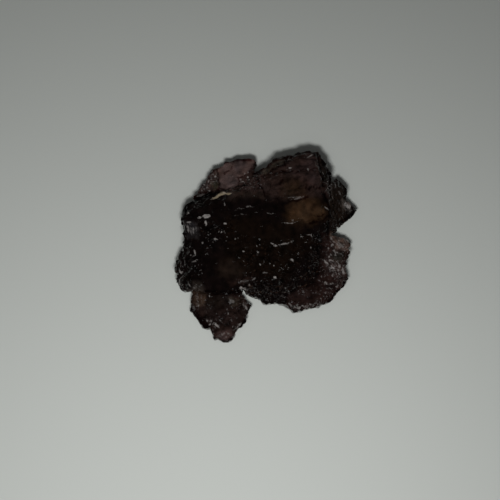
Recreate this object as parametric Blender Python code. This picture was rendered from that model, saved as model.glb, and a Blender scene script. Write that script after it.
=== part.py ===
"""Axinite crystal: a low, flat group of axe-head blades grown together, lying on its broken base.

+Z is up and the floor is z = 0. +Y is the group's long way and the origin is the middle of its underside.
Lengths are in millimetres in the tables below, and in metres in the scene.
"""

import math
import random

import bmesh
import bpy
from mathutils import Matrix, Vector
from mathutils.bvhtree import BVHTree

MM = 0.001

# The faces that every blade of the group shares: the bearing each looks along (0 is +Y, 90 is +X), and the slopes
# in degrees of the face above the rim and the one below it.
FACES = [(338, 33, 41), (308, 30, 37), (262, 34, 46), (214, 36, 36), (171, 33, 34), (136, 28, 32), (82, 34, 42),
         (36, 31, 39)]
BROKEN_EDGE = 0.35  # how far outside its chipped rim the faces of a blade would meet
SHOULDER = 0.55  # the share of a blade's rise that is a steep broken wall, under the faces above the rim
RIM_WAVE = 0.1  # how far those meeting lines lie over and under the rim

# The blades. outline: the chipped rim seen from above. rim: its height over the floor. rise and drop: from the rim
# up to the flat crown and down to the flat keel. dip: how far the blade leans, in degrees. toward: the bearing
# that it leans down to. turn: how far its faces are turned from those of its neighbours.
BLADES = {
    "core": dict(
        rim=2.4, rise=2.8, drop=3.0, dip=2, toward=200, turn=0,
        outline=[(-12.8, 3.6), (-12.8, 4.5), (-12.5, 5.4), (-11.8, 6.1), (-10.7, 6.8), (-9.0, 7.4), (-6.8, 8.2),
                 (-4.0, 8.9), (-1.5, 9.0), (4.5, 7.0), (7.5, 2.5), (7.5, -3.0), (4.5, -6.6), (0.5, -7.6),
                 (-3.6, -6.8), (-6.0, -7.2), (-8.4, -7.3), (-11.0, -7.0), (-12.4, -6.7), (-13.1, -3.2),
                 (-12.6, 0.6)],
    ),
    "north_west_plate": dict(
        rim=3.3, rise=0.6, drop=1.0, dip=16, toward=330, turn=3,
        outline=[(-11.2, 7.0), (-10.2, 8.8), (-9.0, 10.6), (-7.3, 11.9), (-6.2, 12.7), (-4.3, 13.2), (-2.3, 13.0),
                 (-1.8, 12.7), (-2.3, 11.5), (-1.9, 10.9), (-0.6, 9.0), (-2.5, 5.0), (-8.5, 4.5)],
    ),
    "north_east_block": dict(
        rim=2.8, rise=2.7, drop=2.5, dip=1, toward=165, turn=-2,
        outline=[(-1.9, 11.0), (-0.4, 11.5), (0.0, 12.0), (1.1, 13.0), (2.5, 13.4), (3.7, 13.5), (4.7, 14.0),
                 (6.5, 14.3), (7.6, 14.0), (8.1, 13.4), (8.4, 12.6), (8.9, 12.2), (9.0, 11.6), (9.5, 11.0),
                 (9.6, 9.7), (9.2, 9.0), (9.6, 6.5), (10.4, 3.6), (10.3, 2.0), (8.2, 0.2), (2.0, -0.6),
                 (-3.5, 4.0), (-3.4, 9.0)],
    ),
    "south_east_lobe": dict(
        rim=1.5, rise=2.1, drop=1.3, dip=4, toward=140, turn=5,
        outline=[(-3.3, -7.1), (-4.0, -2.5), (2.5, 1.5), (8.5, 2.2), (10.6, 1.3), (12.1, 1.1), (12.5, 0.4),
                 (12.2, -0.9), (11.8, -2.4), (11.8, -3.9), (12.1, -5.1), (11.5, -5.9), (10.1, -7.4), (9.3, -8.4),
                 (7.6, -9.2), (6.2, -9.3), (5.3, -9.8), (4.0, -10.1), (3.4, -9.7), (2.8, -9.1), (1.2, -8.7),
                 (-0.6, -8.8), (-1.5, -7.9)],
    ),
    "south_lobe": dict(
        rim=1.2, rise=1.3, drop=0.9, dip=3, toward=190, turn=-6,
        outline=[(-11.3, -7.0), (-11.3, -8.2), (-11.6, -9.6), (-10.9, -10.5), (-10.3, -11.4), (-9.8, -12.2),
                 (-8.5, -12.5), (-8.3, -13.4), (-8.0, -14.1), (-7.3, -14.1), (-6.5, -14.5), (-5.7, -14.5),
                 (-5.1, -13.9), (-4.5, -12.7), (-3.7, -11.9), (-3.2, -11.1), (-3.0, -9.9), (-2.5, -9.0),
                 (-3.7, -7.6), (-3.8, -6.0), (-5.5, -4.5), (-9.5, -4.5)],
    ),
    "east_flank": dict(
        rim=2.5, rise=1.6, drop=1.2, dip=8, toward=80, turn=2,
        outline=[(8.2, 8.4), (9.5, 9.6), (10.2, 10.1), (11.2, 9.5), (11.6, 8.2), (11.6, 6.6), (11.5, 4.6),
                 (10.6, 2.6), (8.0, 2.0), (7.2, 5.0)],
    ),
    "east_spike": dict(
        rim=1.8, rise=0.8, drop=0.6, dip=5, toward=110, turn=8,
        outline=[(10.4, 7.4), (11.6, 6.9), (12.4, 6.3), (13.1, 5.7), (13.6, 5.4), (12.9, 4.6), (12.0, 4.0),
                 (10.4, 2.8), (9.0, 4.5)],
    ),
    "west_bulge": dict(
        rim=3.0, rise=1.7, drop=2.2, dip=12, toward=265, turn=-4,
        outline=[(-12.8, 3.6), (-12.7, 5.2), (-11.8, 6.2), (-10.7, 6.8), (-8.0, 6.0), (-7.5, 2.5), (-10.0, 0.2),
                 (-12.6, 0.4), (-12.3, 1.6)],
    ),
    "south_west_corner": dict(
        rim=2.1, rise=1.8, drop=1.5, dip=9, toward=245, turn=6,
        outline=[(-13.6, -3.0), (-13.5, -1.8), (-13.0, -0.8), (-10.0, 0.2), (-8.0, -3.5), (-9.8, -6.8),
                 (-12.3, -6.9), (-12.8, -6.5), (-13.2, -5.8), (-13.4, -4.4)],
    ),
}

# Growth ledges: thin sheets that overlap like shingles on top of the blades. Each starts with a steep riser along
# its south edge and sinks into the sheet behind it on the north.
LEDGES = {
    "middle_ledge": dict(
        rim=5.30, rise=0.14, drop=1.2, dip=1, toward=5,
        outline=[(-8.6, 3.0), (-6.6, 1.6), (-3.0, 0.9), (0.6, 0.2), (2.2, 0.4), (3.9, 0.5), (5.0, 1.3), (7.2, 1.5),
                 (8.3, 2.9), (8.4, 5.2), (8.0, 8.0), (4.0, 8.6), (-1.0, 8.0), (-6.4, 6.2), (-8.4, 5.0)],
    ),
    "centre_ledge": dict(
        rim=5.56, rise=0.12, drop=1.2, dip=2, toward=345,
        outline=[(-7.2, 4.8), (-5.6, 4.5), (-4.3, 5.2), (-1.9, 5.6), (0.2, 4.5), (2.4, 3.5), (4.6, 3.6), (6.6, 3.2),
                 (8.0, 3.8), (8.3, 6.0), (8.0, 9.0), (4.0, 9.4), (0.0, 9.0), (-4.2, 7.2)],
    ),
    "amber_ledge": dict(
        rim=5.78, rise=0.12, drop=1.2, dip=1, toward=340,
        outline=[(-2.4, 7.2), (0.0, 6.2), (1.5, 6.5), (2.7, 7.0), (4.5, 7.2), (6.3, 7.5), (7.6, 8.4), (8.3, 9.0),
                 (8.2, 10.4), (7.6, 12.0), (5.0, 12.3), (2.0, 11.6), (-0.4, 10.4), (-1.8, 8.8)],
    ),
    "dotted_ledge": dict(
        rim=5.96, rise=0.12, drop=1.1, dip=6, toward=345,
        outline=[(0.4, 8.1), (2.4, 8.6), (4.0, 8.1), (5.6, 8.5), (7.9, 8.9), (8.0, 10.4), (7.4, 11.8), (5.0, 12.1),
                 (2.2, 11.4), (0.3, 10.2)],
    ),
    "top_ledge": dict(
        rim=6.02, rise=0.12, drop=1.0, dip=12, toward=350,
        outline=[(0.9, 9.9), (2.3, 10.0), (3.8, 10.9), (6.0, 11.0), (7.6, 10.7), (7.2, 12.4), (5.3, 12.7),
                 (2.9, 12.2), (1.5, 11.3)],
    ),
    "west_ledge": dict(
        rim=4.8, rise=0.14, drop=1.4, dip=8, toward=265,
        outline=[(-11.4, 3.6), (-9.8, 2.2), (-7.6, 2.4), (-6.0, 3.8), (-6.2, 5.6), (-8.6, 6.0), (-10.8, 5.2)],
    ),
    "south_east_ledge": dict(
        rim=3.45, rise=0.3, drop=1.2, dip=8, toward=150,
        outline=[(0.4, -6.4), (2.2, -3.0), (6.4, -1.2), (9.2, -2.2), (9.4, -5.0), (7.0, -7.2), (3.6, -7.4)],
    ),
}
LEDGE_CROWN = 0.97  # the top of a ledge beside its edge
LEDGE_FOOT = 1.05  # and the foot of its riser

CHIP_PITCH = 1.3  # the rims are broken into short straight edges of about this length
CHIP_DEPTH = 0.22  # how far those edges step in and out
CHIP_HEIGHT = 0.20  # and up and down
RIM_CROWN = 0.97  # how far a broken rim leans inward on its way up
RIM_KEEL = 0.90  # and on its way down

# The unit cell of axinite, in angstroms and degrees. It gives the directions of the crystal faces.
CELL_EDGES = (7.15, 9.20, 8.96)
CELL_ANGLES = (91.9, 98.1, 77.2)
# The faces of a small axe-head crystal: Miller indices, and distance from the middle beside its half length.
CRYSTAL_FACES = {
    (0, 1, 0): 0.30,
    (1, 1, 0): 0.52,
    (1, -1, 0): 0.46,
    (0, 1, 1): 0.62,
    (0, 0, 1): 0.80,
    (1, 0, -1): 0.58,
    (1, 1, 1): 0.60,
}

# Where small crystals stud the surface: a patch seen from above, how many, and their half lengths.
STUDDED_PATCHES = [
    dict(count=30, size=(0.45, 1.0), patch=[(-12.2, -0.6), (-11.2, 4.4), (-6.0, 4.6), (-3.6, 1.2), (-6.0, -1.0)]),
    dict(count=16, size=(0.45, 1.0), patch=[(-13.3, -6.2), (-13.3, -1.0), (-10.6, -1.0), (-10.4, -6.6)]),
    dict(count=30, size=(0.5, 1.1), patch=[(-3.4, -7.4), (-4.2, 0.0), (3.2, 0.0), (3.2, -7.8)]),
    dict(
        count=34, size=(0.5, 1.1),
        patch=[(3.0, -8.6), (3.2, 0.0), (8.4, 0.8), (11.8, -0.6), (11.4, -5.4), (8.4, -8.2)],
    ),
    dict(
        count=18, size=(0.4, 0.9),
        patch=[(-11.0, -8.6), (-10.4, -11.2), (-8.0, -13.6), (-5.4, -14.0), (-3.0, -9.6), (-4.4, -8.0)],
    ),
    dict(count=8, size=(0.4, 0.8), patch=[(10.6, 8.6), (11.2, 6.2), (12.8, 5.4), (10.8, 3.4)]),
    dict(count=7, size=(0.3, 0.6), patch=[(-1.6, 7.4), (-1.4, 10.6), (0.2, 10.8), (0.1, 7.4)]),
    dict(count=8, size=(0.3, 0.6), patch=[(-10.4, 7.8), (-8.8, 10.2), (-7.2, 10.6), (-7.4, 8.6)]),
]
HEADING = 62  # the small crystals grew nearly parallel, with their length along this bearing
HEADING_SPREAD = 26
LEAN_SPREAD = 28
SINK = 0.25  # a small crystal's middle lies this share of its half length below the surface

# Narrow parallel crystals down the east flank: where the middle is, and the bearing of the length.
LATHS = [(9.9, 7.9, 8), (10.5, 6.6, 4), (10.9, 7.6, 12), (11.1, 5.4, -4), (10.2, 4.6, 6), (9.7, 6.0, 10)]
LATH_SIZE = (2.0, 0.34, 0.5)  # half length, half width and half height

# Hollows where small crystals broke out. The cavity is the deep one in the notch beside the south lobe.
PITTED_PATCHES = [0, 2, 3]
PITS = 18
PIT_SIZE = (0.3, 0.6)
CAVITY = [(-3.5, -6.2, 1.1), (-2.9, -6.9, 1.0), (-4.1, -5.8, 0.8), (-2.6, -6.0, 0.7)]

FLOOR_CUT = 4.0  # depth of the block that takes away what reaches below the floor
SEED = 7


def clear_scene():
    """Remove every object, so that only the crystal is left."""
    for thing in list(bpy.data.objects):
        bpy.data.objects.remove(thing, do_unlink=True)


def bearing(degrees):
    """The unit vector along a compass bearing on the floor."""
    angle = math.radians(degrees)
    return Vector((math.sin(angle), math.cos(angle), 0.0))


def lean(degrees, toward, about):
    """The matrix that tips a body about a point, so that it slopes down toward a bearing."""
    axis = Vector((0, 0, 1)).cross(bearing(toward))
    turn = Matrix.Rotation(math.radians(degrees), 4, axis)
    return Matrix.Translation(about) @ turn @ Matrix.Translation(-about)


def chipped(outline, rng):
    """The outline with short broken edges: (point, smooth point) pairs, the second on the straight side."""
    points = []
    for start, end in zip(outline, outline[1:] + outline[:1]):
        start, end = Vector(start), Vector(end)
        side = end - start
        outward = Vector((-side.y, side.x)).normalized()
        steps = max(1, round(side.length / CHIP_PITCH))
        for step in range(steps):
            share = step / steps
            if step:
                share += rng.uniform(-0.3, 0.3) / steps
            smooth = start + side * share
            offset = rng.uniform(-CHIP_DEPTH, CHIP_DEPTH) if step else 0.0
            points.append((smooth + outward * offset, smooth))
    return points


def ring(mesh, points, middle, share, height, ragged=0.0, rng=None):
    """A loop of vertices: the points drawn in toward the middle by a share, at one height."""
    loop = []
    for point in points:
        x, y = middle + (point - middle) * share
        up = height + (rng.uniform(-ragged, ragged) if ragged else 0.0)
        loop.append(mesh.verts.new((x, y, up)))
    return loop


def wall(mesh, low, high):
    """The band of triangles between two loops of the same length."""
    count = len(low)
    for i in range(count):
        j = (i + 1) % count
        mesh.faces.new((low[i], low[j], high[j]))
        mesh.faces.new((low[i], high[j], high[i]))


def rim_body(points, rim, up, down, crown, keel, ragged, rng):
    """The body inside a chipped rim: a wide loop at the rim and a loop over and under it."""
    middle = middle_of(points)
    mesh = bmesh.new()
    keel_loop = ring(mesh, [smooth for _, smooth in points], middle, keel, rim - down)
    rim_loop = ring(mesh, [broken for broken, _ in points], middle, 1.0, rim, ragged, rng)
    crown_loop = ring(mesh, [(broken + smooth) / 2 for broken, smooth in points], middle, crown, rim + up)
    wall(mesh, keel_loop, rim_loop)
    wall(mesh, rim_loop, crown_loop)
    mesh.faces.new(crown_loop)
    mesh.faces.new(list(reversed(keel_loop)))
    bmesh.ops.recalc_face_normals(mesh, faces=mesh.faces)
    return mesh


def middle_of(points):
    """The mean of the points of a rim."""
    return sum((smooth for _, smooth in points), Vector((0, 0))) / len(points)


def cut_face(mesh, point, normal):
    """Cut a convex body off flat at a plane, and close it."""
    found = bmesh.ops.bisect_plane(
        mesh,
        geom=mesh.verts[:] + mesh.edges[:] + mesh.faces[:],
        plane_co=point,
        plane_no=normal,
        clear_outer=True,
    )
    edges = [edge for edge in found["geom_cut"] if isinstance(edge, bmesh.types.BMEdge)]
    if edges:
        bmesh.ops.edgenet_fill(mesh, edges=edges)


def faceted_body(points, rim, rise, drop, turn):
    """The unbroken crystal around a rim: the shared faces above and below it, a crown and a keel."""
    middle = middle_of(points)
    mesh = bmesh.new()
    bmesh.ops.create_cube(mesh, size=80.0)
    up = Vector((0, 0, 1))
    for number, (look, above, below) in enumerate(FACES):
        outward = bearing(look + turn)
        reach = max((smooth - middle).dot(outward.xy) for _, smooth in points) + BROKEN_EDGE
        height = rim + RIM_WAVE * math.sin(2.4 * number)
        corner = Vector((*middle, height)) + outward * reach
        shoulder = corner + up * rise * SHOULDER
        above = math.radians(above)
        below = math.radians(below)
        cut_face(mesh, shoulder, outward * math.sin(above) + up * math.cos(above))
        cut_face(mesh, corner, outward * math.sin(below) - up * math.cos(below))
    cut_face(mesh, Vector((0, 0, rim + rise)), up)
    cut_face(mesh, Vector((0, 0, rim - drop)), -up)
    bmesh.ops.recalc_face_normals(mesh, faces=mesh.faces)
    return mesh


def blade(name, outline, rim, rise, drop, dip, toward, turn, rng):
    """One blade as an object: an axe-head crystal with large flat faces, broken along its rim."""
    points = chipped(outline, rng)
    whole = faceted_body(points, rim, rise, drop, turn)
    broken = rim_body(points, rim, rise + 1, drop + 1, RIM_CROWN, RIM_KEEL, CHIP_HEIGHT, rng)
    about = Vector((*middle_of(points), rim))
    for mesh in (whole, broken):
        mesh.transform(lean(dip, toward, about))
        mesh.transform(Matrix.Scale(MM, 4))
    body = as_object(name, whole)
    combine(body, [as_object("broken_rim", broken)], "INTERSECT")
    return body


def ledge(name, outline, rim, rise, drop, dip, toward, rng):
    """One growth ledge as an object."""
    points = chipped(outline, rng)
    mesh = rim_body(points, rim, rise, drop, LEDGE_CROWN, LEDGE_FOOT, CHIP_HEIGHT * rise, rng)
    mesh.transform(lean(dip, toward, Vector((*middle_of(points), rim))))
    mesh.transform(Matrix.Scale(MM, 4))
    return as_object(name, mesh)


def as_object(name, mesh):
    """A bmesh as a new object of the scene. The bmesh is freed."""
    data = bpy.data.meshes.new(name)
    mesh.to_mesh(data)
    mesh.free()
    thing = bpy.data.objects.new(name, data)
    bpy.context.scene.collection.objects.link(thing)
    return thing


def cell_vectors():
    """The three edges of the unit cell as vectors."""
    a, b, c = CELL_EDGES
    alpha, beta, gamma = (math.radians(angle) for angle in CELL_ANGLES)
    along_a = Vector((a, 0, 0))
    along_b = Vector((b * math.cos(gamma), b * math.sin(gamma), 0))
    cx = math.cos(beta)
    cy = (math.cos(alpha) - math.cos(beta) * math.cos(gamma)) / math.sin(gamma)
    along_c = Vector((cx, cy, math.sqrt(1 - cx * cx - cy * cy))) * c
    return along_a, along_b, along_c


def face_normal(indices):
    """The direction square to the crystal face with these Miller indices."""
    a, b, c = cell_vectors()
    h, k, l = indices
    return (b.cross(c) * h + c.cross(a) * k + a.cross(b) * l).normalized()


def small_crystal():
    """The mesh of an axe-head crystal of half length 1, flat in X and Y. Each face has its opposite as partner."""
    mesh = bmesh.new()
    bmesh.ops.create_cube(mesh, size=4.0)
    for indices, distance in CRYSTAL_FACES.items():
        for normal in (face_normal(indices), -face_normal(indices)):
            cut_face(mesh, normal * distance, normal)
    flat = face_normal((0, 1, 0)).rotation_difference(Vector((0, 0, 1))).to_matrix().to_4x4()
    mesh.transform(flat)
    longest = max(vertex.co.length for vertex in mesh.verts)
    mesh.transform(Matrix.Scale(1 / longest, 4))
    bmesh.ops.recalc_face_normals(mesh, faces=mesh.faces)
    data = bpy.data.meshes.new("small_crystal")
    mesh.to_mesh(data)
    mesh.free()
    return data


def inside(point, patch):
    """True if a point lies in a patch seen from above."""
    found = False
    for (x0, y0), (x1, y1) in zip(patch, patch[1:] + patch[:1]):
        if (y0 > point[1]) != (y1 > point[1]) and point[0] < (x1 - x0) * (point[1] - y0) / (y1 - y0) + x0:
            found = not found
    return found


def point_in(patch, rng):
    """A random point of a patch."""
    xs, ys = zip(*patch)
    while True:
        point = (rng.uniform(min(xs), max(xs)), rng.uniform(min(ys), max(ys)))
        if inside(point, patch):
            return point


def placed_crystal(name, template, point, height, size, rng):
    """A copy of the small crystal, nearly parallel to its neighbours."""
    turn = Matrix.Rotation(-math.radians(HEADING + rng.uniform(-HEADING_SPREAD, HEADING_SPREAD)), 4, "Z")
    tip = lean(rng.uniform(0, LEAN_SPREAD), rng.uniform(0, 360), Vector((0, 0, 0)))
    place = Matrix.Translation(Vector((point[0], point[1], height)) * MM)
    data = template.copy()
    data.transform(place @ tip @ turn @ Matrix.Scale(size * MM, 4))
    thing = bpy.data.objects.new(name, data)
    bpy.context.scene.collection.objects.link(thing)
    return thing


def surface_under(trees, point):
    """The height, in millimetres, of the highest blade under a point, or None."""
    found = None
    for tree in trees:
        hit = tree.ray_cast(Vector((point[0], point[1], 50)) * MM, Vector((0, 0, -1)))[0]
        if hit is not None and (found is None or hit.z / MM > found):
            found = hit.z / MM
    return found


def stud(bodies, template, rng):
    """Small crystals half sunk in the surface of the rough patches."""
    trees = tree_of(bodies)
    made = []
    for number, patch in enumerate(STUDDED_PATCHES):
        for i in range(patch["count"]):
            point = point_in(patch["patch"], rng)
            size = rng.uniform(*patch["size"])
            height = surface_under(trees, point)
            if height is not None:
                made.append(placed_crystal(f"stud_{number}_{i}", template, point, height - SINK * size, size, rng))
    return made


def tree_of(bodies):
    """A ray tree for each body."""
    graph = bpy.context.evaluated_depsgraph_get()
    return [BVHTree.FromObject(body, graph) for body in bodies]


def pit(bodies, template, rng):
    """Crystal-shaped hollows, where small crystals broke out of the rough patches."""
    trees = tree_of(bodies)
    places = []
    for i in range(PITS):
        patch = STUDDED_PATCHES[PITTED_PATCHES[i % len(PITTED_PATCHES)]]["patch"]
        places.append((*point_in(patch, rng), rng.uniform(*PIT_SIZE)))
    made = []
    for i, (x, y, size) in enumerate(places + CAVITY):
        height = surface_under(trees, (x, y))
        if height is not None:
            made.append(placed_crystal(f"pit_{i}", template, (x, y), height, size, rng))
    return made


def laths(bodies, template, rng):
    """The narrow parallel crystals down the east flank."""
    trees = tree_of(bodies)
    made = []
    for i, (x, y, heading) in enumerate(LATHS):
        height = surface_under(trees, (x, y))
        data = template.copy()
        data.transform(Matrix.Diagonal((*LATH_SIZE, 1.0)))
        data.transform(Matrix.Rotation(math.radians(90 - heading), 4, "Z"))
        data.transform(lean(rng.uniform(4, 12), 90, Vector((0, 0, 0))))
        data.transform(Matrix.Translation((x, y, height)))
        data.transform(Matrix.Scale(MM, 4))
        thing = bpy.data.objects.new(f"lath_{i}", data)
        bpy.context.scene.collection.objects.link(thing)
        made.append(thing)
    return made


def floor_block():
    """The block below the floor that cuts the base flat."""
    mesh = bmesh.new()
    bmesh.ops.create_cube(mesh, size=1.0)
    mesh.transform(Matrix.Scale(60 * MM, 4, Vector((1, 0, 0))) @ Matrix.Scale(60 * MM, 4, Vector((0, 1, 0)))
                   @ Matrix.Scale(FLOOR_CUT * MM, 4, Vector((0, 0, 1))))
    mesh.transform(Matrix.Translation((0, 0, -FLOOR_CUT / 2 * MM)))
    return as_object("floor_block", mesh)


def combine(body, others, operation):
    """Join the others to a body, or cut them from it, and remove them."""
    group = bpy.data.collections.new("cutters")
    for other in others:
        group.objects.link(other)
    step = body.modifiers.new(operation.title(), "BOOLEAN")
    step.operation = operation
    step.operand_type = "COLLECTION"
    step.collection = group
    step.solver = "EXACT"
    graph = bpy.context.evaluated_depsgraph_get()
    graph.update()
    data = bpy.data.meshes.new_from_object(body.evaluated_get(graph))
    body.modifiers.clear()
    body.data = data
    for other in others:
        bpy.data.objects.remove(other, do_unlink=True)
    bpy.data.collections.remove(group)


def islands(mesh):
    """The separate shells of a bmesh, as lists of faces."""
    left = set(mesh.faces)
    shells = []
    while left:
        todo = [left.pop()]
        shell = []
        while todo:
            face = todo.pop()
            shell.append(face)
            for edge in face.edges:
                for other in edge.link_faces:
                    if other in left:
                        left.remove(other)
                        todo.append(other)
        shells.append(shell)
    return shells


def keep_outer_shell(body):
    """Drop the sealed hollows between the blades and any loose crumb, leaving one closed skin."""
    mesh = bmesh.new()
    mesh.from_mesh(body.data)
    shells = sorted(islands(mesh), key=len)
    waste = [face for shell in shells[:-1] for face in shell]
    bmesh.ops.delete(mesh, geom=waste, context="FACES")
    mesh.to_mesh(body.data)
    mesh.free()


def centre_over_origin(body):
    """Move the mesh so that the middle of its underside is the origin."""
    xs, ys, zs = zip(*(vertex.co for vertex in body.data.vertices))
    middle = Vector(((min(xs) + max(xs)) / 2, (min(ys) + max(ys)) / 2, min(zs)))
    body.data.transform(Matrix.Translation(-middle))


def axinite_material():
    """Clove-brown, glassy and see-through where it is thin."""
    material = bpy.data.materials.new("axinite")
    material.use_nodes = True
    shader = material.node_tree.nodes["Principled BSDF"]
    shader.inputs["Base Color"].default_value = (0.05, 0.03, 0.028, 1)
    shader.inputs["Roughness"].default_value = 0.18
    shader.inputs["Metallic"].default_value = 0.0
    return material


def main():
    clear_scene()
    rng = random.Random(SEED)
    bodies = [blade(name, rng=rng, **sizes) for name, sizes in BLADES.items()]
    bodies += [ledge(name, rng=rng, **sizes) for name, sizes in LEDGES.items()]
    template = small_crystal()
    studs = stud(bodies, template, rng)
    pits = pit(bodies, template, rng)
    flank = laths(bodies, template, rng)
    crystal = bodies[0]
    combine(crystal, bodies[1:] + studs + flank, "UNION")
    combine(crystal, pits + [floor_block()], "DIFFERENCE")
    keep_outer_shell(crystal)
    centre_over_origin(crystal)
    crystal.name = "axinite_crystal"
    crystal.data.name = "axinite_crystal"
    crystal.data.materials.clear()
    crystal.data.materials.append(axinite_material())
    for data in [mesh for mesh in bpy.data.meshes if mesh.users == 0]:
        bpy.data.meshes.remove(data)


main()
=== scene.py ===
import math

import bmesh
import bpy
import numpy as np
from mathutils import Euler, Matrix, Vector, noise


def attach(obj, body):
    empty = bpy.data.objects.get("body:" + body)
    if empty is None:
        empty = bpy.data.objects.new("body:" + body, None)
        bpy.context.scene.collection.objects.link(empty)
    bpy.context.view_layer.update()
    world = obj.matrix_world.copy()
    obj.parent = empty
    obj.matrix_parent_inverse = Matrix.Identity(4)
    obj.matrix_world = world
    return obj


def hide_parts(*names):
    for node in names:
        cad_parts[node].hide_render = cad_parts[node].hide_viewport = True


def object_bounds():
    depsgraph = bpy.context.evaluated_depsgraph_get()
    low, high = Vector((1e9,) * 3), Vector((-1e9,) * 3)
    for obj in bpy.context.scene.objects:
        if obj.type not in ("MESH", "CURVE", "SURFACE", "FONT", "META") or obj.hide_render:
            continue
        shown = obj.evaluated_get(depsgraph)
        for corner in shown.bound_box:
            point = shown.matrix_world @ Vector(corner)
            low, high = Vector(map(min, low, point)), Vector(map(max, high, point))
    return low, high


mm = 0.001

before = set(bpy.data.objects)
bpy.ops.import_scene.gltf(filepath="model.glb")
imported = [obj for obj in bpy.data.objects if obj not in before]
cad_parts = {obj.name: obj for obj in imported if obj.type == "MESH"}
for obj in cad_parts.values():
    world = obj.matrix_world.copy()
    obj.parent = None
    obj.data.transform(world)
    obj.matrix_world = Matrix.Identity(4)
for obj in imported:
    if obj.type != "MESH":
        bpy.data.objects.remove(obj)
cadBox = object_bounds()
print("frame loaded:", sorted(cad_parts))

scene = bpy.context.scene
scene.view_settings.view_transform = "Standard"
scene.view_settings.look = "None"


class Wire:
    # a socket that can be used in sums
    def __init__(self, tree, socket):
        self.tree = tree
        self.socket = socket

    def maths(self, operation, *values):
        step = self.tree.nodes.new("ShaderNodeMath")
        step.operation = operation
        for slot, value in zip(step.inputs, values):
            plug(self.tree, slot, value)
        return Wire(self.tree, step.outputs[0])

    def __add__(self, other):
        return self.maths("ADD", self, other)

    def __radd__(self, other):
        return self.maths("ADD", other, self)

    def __sub__(self, other):
        return self.maths("SUBTRACT", self, other)

    def __rsub__(self, other):
        return self.maths("SUBTRACT", other, self)

    def __mul__(self, other):
        return self.maths("MULTIPLY", self, other)

    def __rmul__(self, other):
        return self.maths("MULTIPLY", other, self)


def plug(tree, slot, value):
    if isinstance(value, Wire):
        tree.links.new(value.socket, slot)
    else:
        slot.default_value = value


def pickSlot(made, key):
    # a slot's name is written without its spaces
    for slot in made.inputs:
        if slot.name.replace(" ", "") == key:
            return slot
    raise KeyError(key)


def fillRamp(ramp, stops):
    while len(ramp.elements) > 1:
        ramp.elements.remove(ramp.elements[0])
    ramp.elements[0].position = stops[0][0]
    ramp.elements[0].color = stops[0][1]
    for place, colour in stops[1:]:
        ramp.elements.new(place).color = colour


class Recipe:
    # the node tree of one material or of the world
    def __init__(self, owner):
        owner.use_nodes = True
        self.owner = owner
        self.tree = owner.node_tree
        self.tree.nodes.clear()

    def node(self, kind, settings=None, out=0, **values):
        made = self.tree.nodes.new(kind)
        for key, value in (settings or {}).items():
            if key == "stops":
                fillRamp(made.color_ramp, value)
            else:
                setattr(made, key, value)
        for key, value in values.items():
            plug(self.tree, pickSlot(made, key), value)
        return Wire(self.tree, made.outputs[out]) if len(made.outputs) else None

    def attribute(self, name, out=2):
        # what is painted on the mesh's points: output 2 is a value, output 0 a colour
        return self.node("ShaderNodeAttribute", {"attribute_name": name}, out=out)

    def speckle(self, where, scale, detail):
        # soft noise from 0 to 1, scale lumps to the metre
        return self.node("ShaderNodeTexNoise", Vector=where, Scale=scale, Detail=detail)

    def blend(self, share, first, second):
        # a mix of two colours
        made = self.tree.nodes.new("ShaderNodeMix")
        made.data_type = "RGBA"
        for place, value in ((0, share), (6, first), (7, second)):
            plug(self.tree, made.inputs[place], value)
        return Wire(self.tree, made.outputs[2])


def readPoints(data):
    # the places and normals of a mesh's points, in mm
    points = np.zeros(len(data.vertices) * 3, np.float32)
    normals = np.zeros(len(data.vertices) * 3, np.float32)
    data.vertices.foreach_get("co", points)
    data.vertices.foreach_get("normal", normals)
    return points.reshape(-1, 3).astype(float) / mm, normals.reshape(-1, 3).astype(float)


def writePoints(data, points):
    data.vertices.foreach_set("co", (points * mm).astype(np.float32).ravel())
    data.update()


def smoothStep(low, high, value):
    share = np.clip((value - low) / (high - low), 0, 1)
    return share * share * (3 - 2 * share)


def distanceTo(points, start, end):
    # distance from a straight line seen from above
    (x0, y0), (x1, y1) = start, end
    dx, dy = x1 - x0, y1 - y0
    along = ((points[:, 0] - x0) * dx + (points[:, 1] - y0) * dy) / (dx * dx + dy * dy)
    along = np.clip(along, 0, 1)
    return np.hypot(points[:, 0] - x0 - along * dx, points[:, 1] - y0 - along * dy)


def distanceAlong(points, route):
    # distance from the nearest leg of a bent line
    return np.minimum.reduce([distanceTo(points, *leg) for leg in zip(route, route[1:])])


def routeMask(points, route, width, fade=0.11):
    # 1 on a route, fading out just past half its width
    return 1 - smoothStep(width * 0.2, width * 0.5 + fade, distanceAlong(points, route))


def cloud(points, size, octaves=2, shift=0.0):
    # soft noise, about -1 to 1, with lumps of this size in mm
    spots = points / size + shift
    return np.array([noise.fractal(Vector(spot), 1.0, 2.0, octaves) for spot in spots])


def driftOf(points, drift):
    # soft sideways shifts in X, Y and Z
    return np.stack([cloud(points, drift["size"], 2, shift) for shift in drift["shifts"]], 1)


def facets(points, size, slope, turn, shift=0.0):
    # heights of a mosaic of small flat facets, each lying its own way
    spots = (points / size + shift) @ np.array(Euler(turn).to_matrix())
    heights = np.zeros(len(points))
    scatter = 97.0  # takes neighbouring facets to unlike tilts
    steepest = 1.7
    for number, spot in enumerate(spots):
        centre = noise.voronoi(Vector(spot))[1][0]
        tilt = noise.cell_vector(centre * scatter) * 2 - Vector((1, 1, 1))
        heights[number] = tilt.dot(Vector(spot) - centre)
    return heights * slope * size * steepest


def pits(points, size, span, turn, shift=0.0):
    # 1 at the bottom of scattered hollows
    spots = (points / size + shift) @ np.array(Euler(turn).to_matrix())
    away = np.array([noise.voronoi(Vector(spot))[0][0] for spot in spots])
    return 1 - smoothStep(*span, away)


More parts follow.
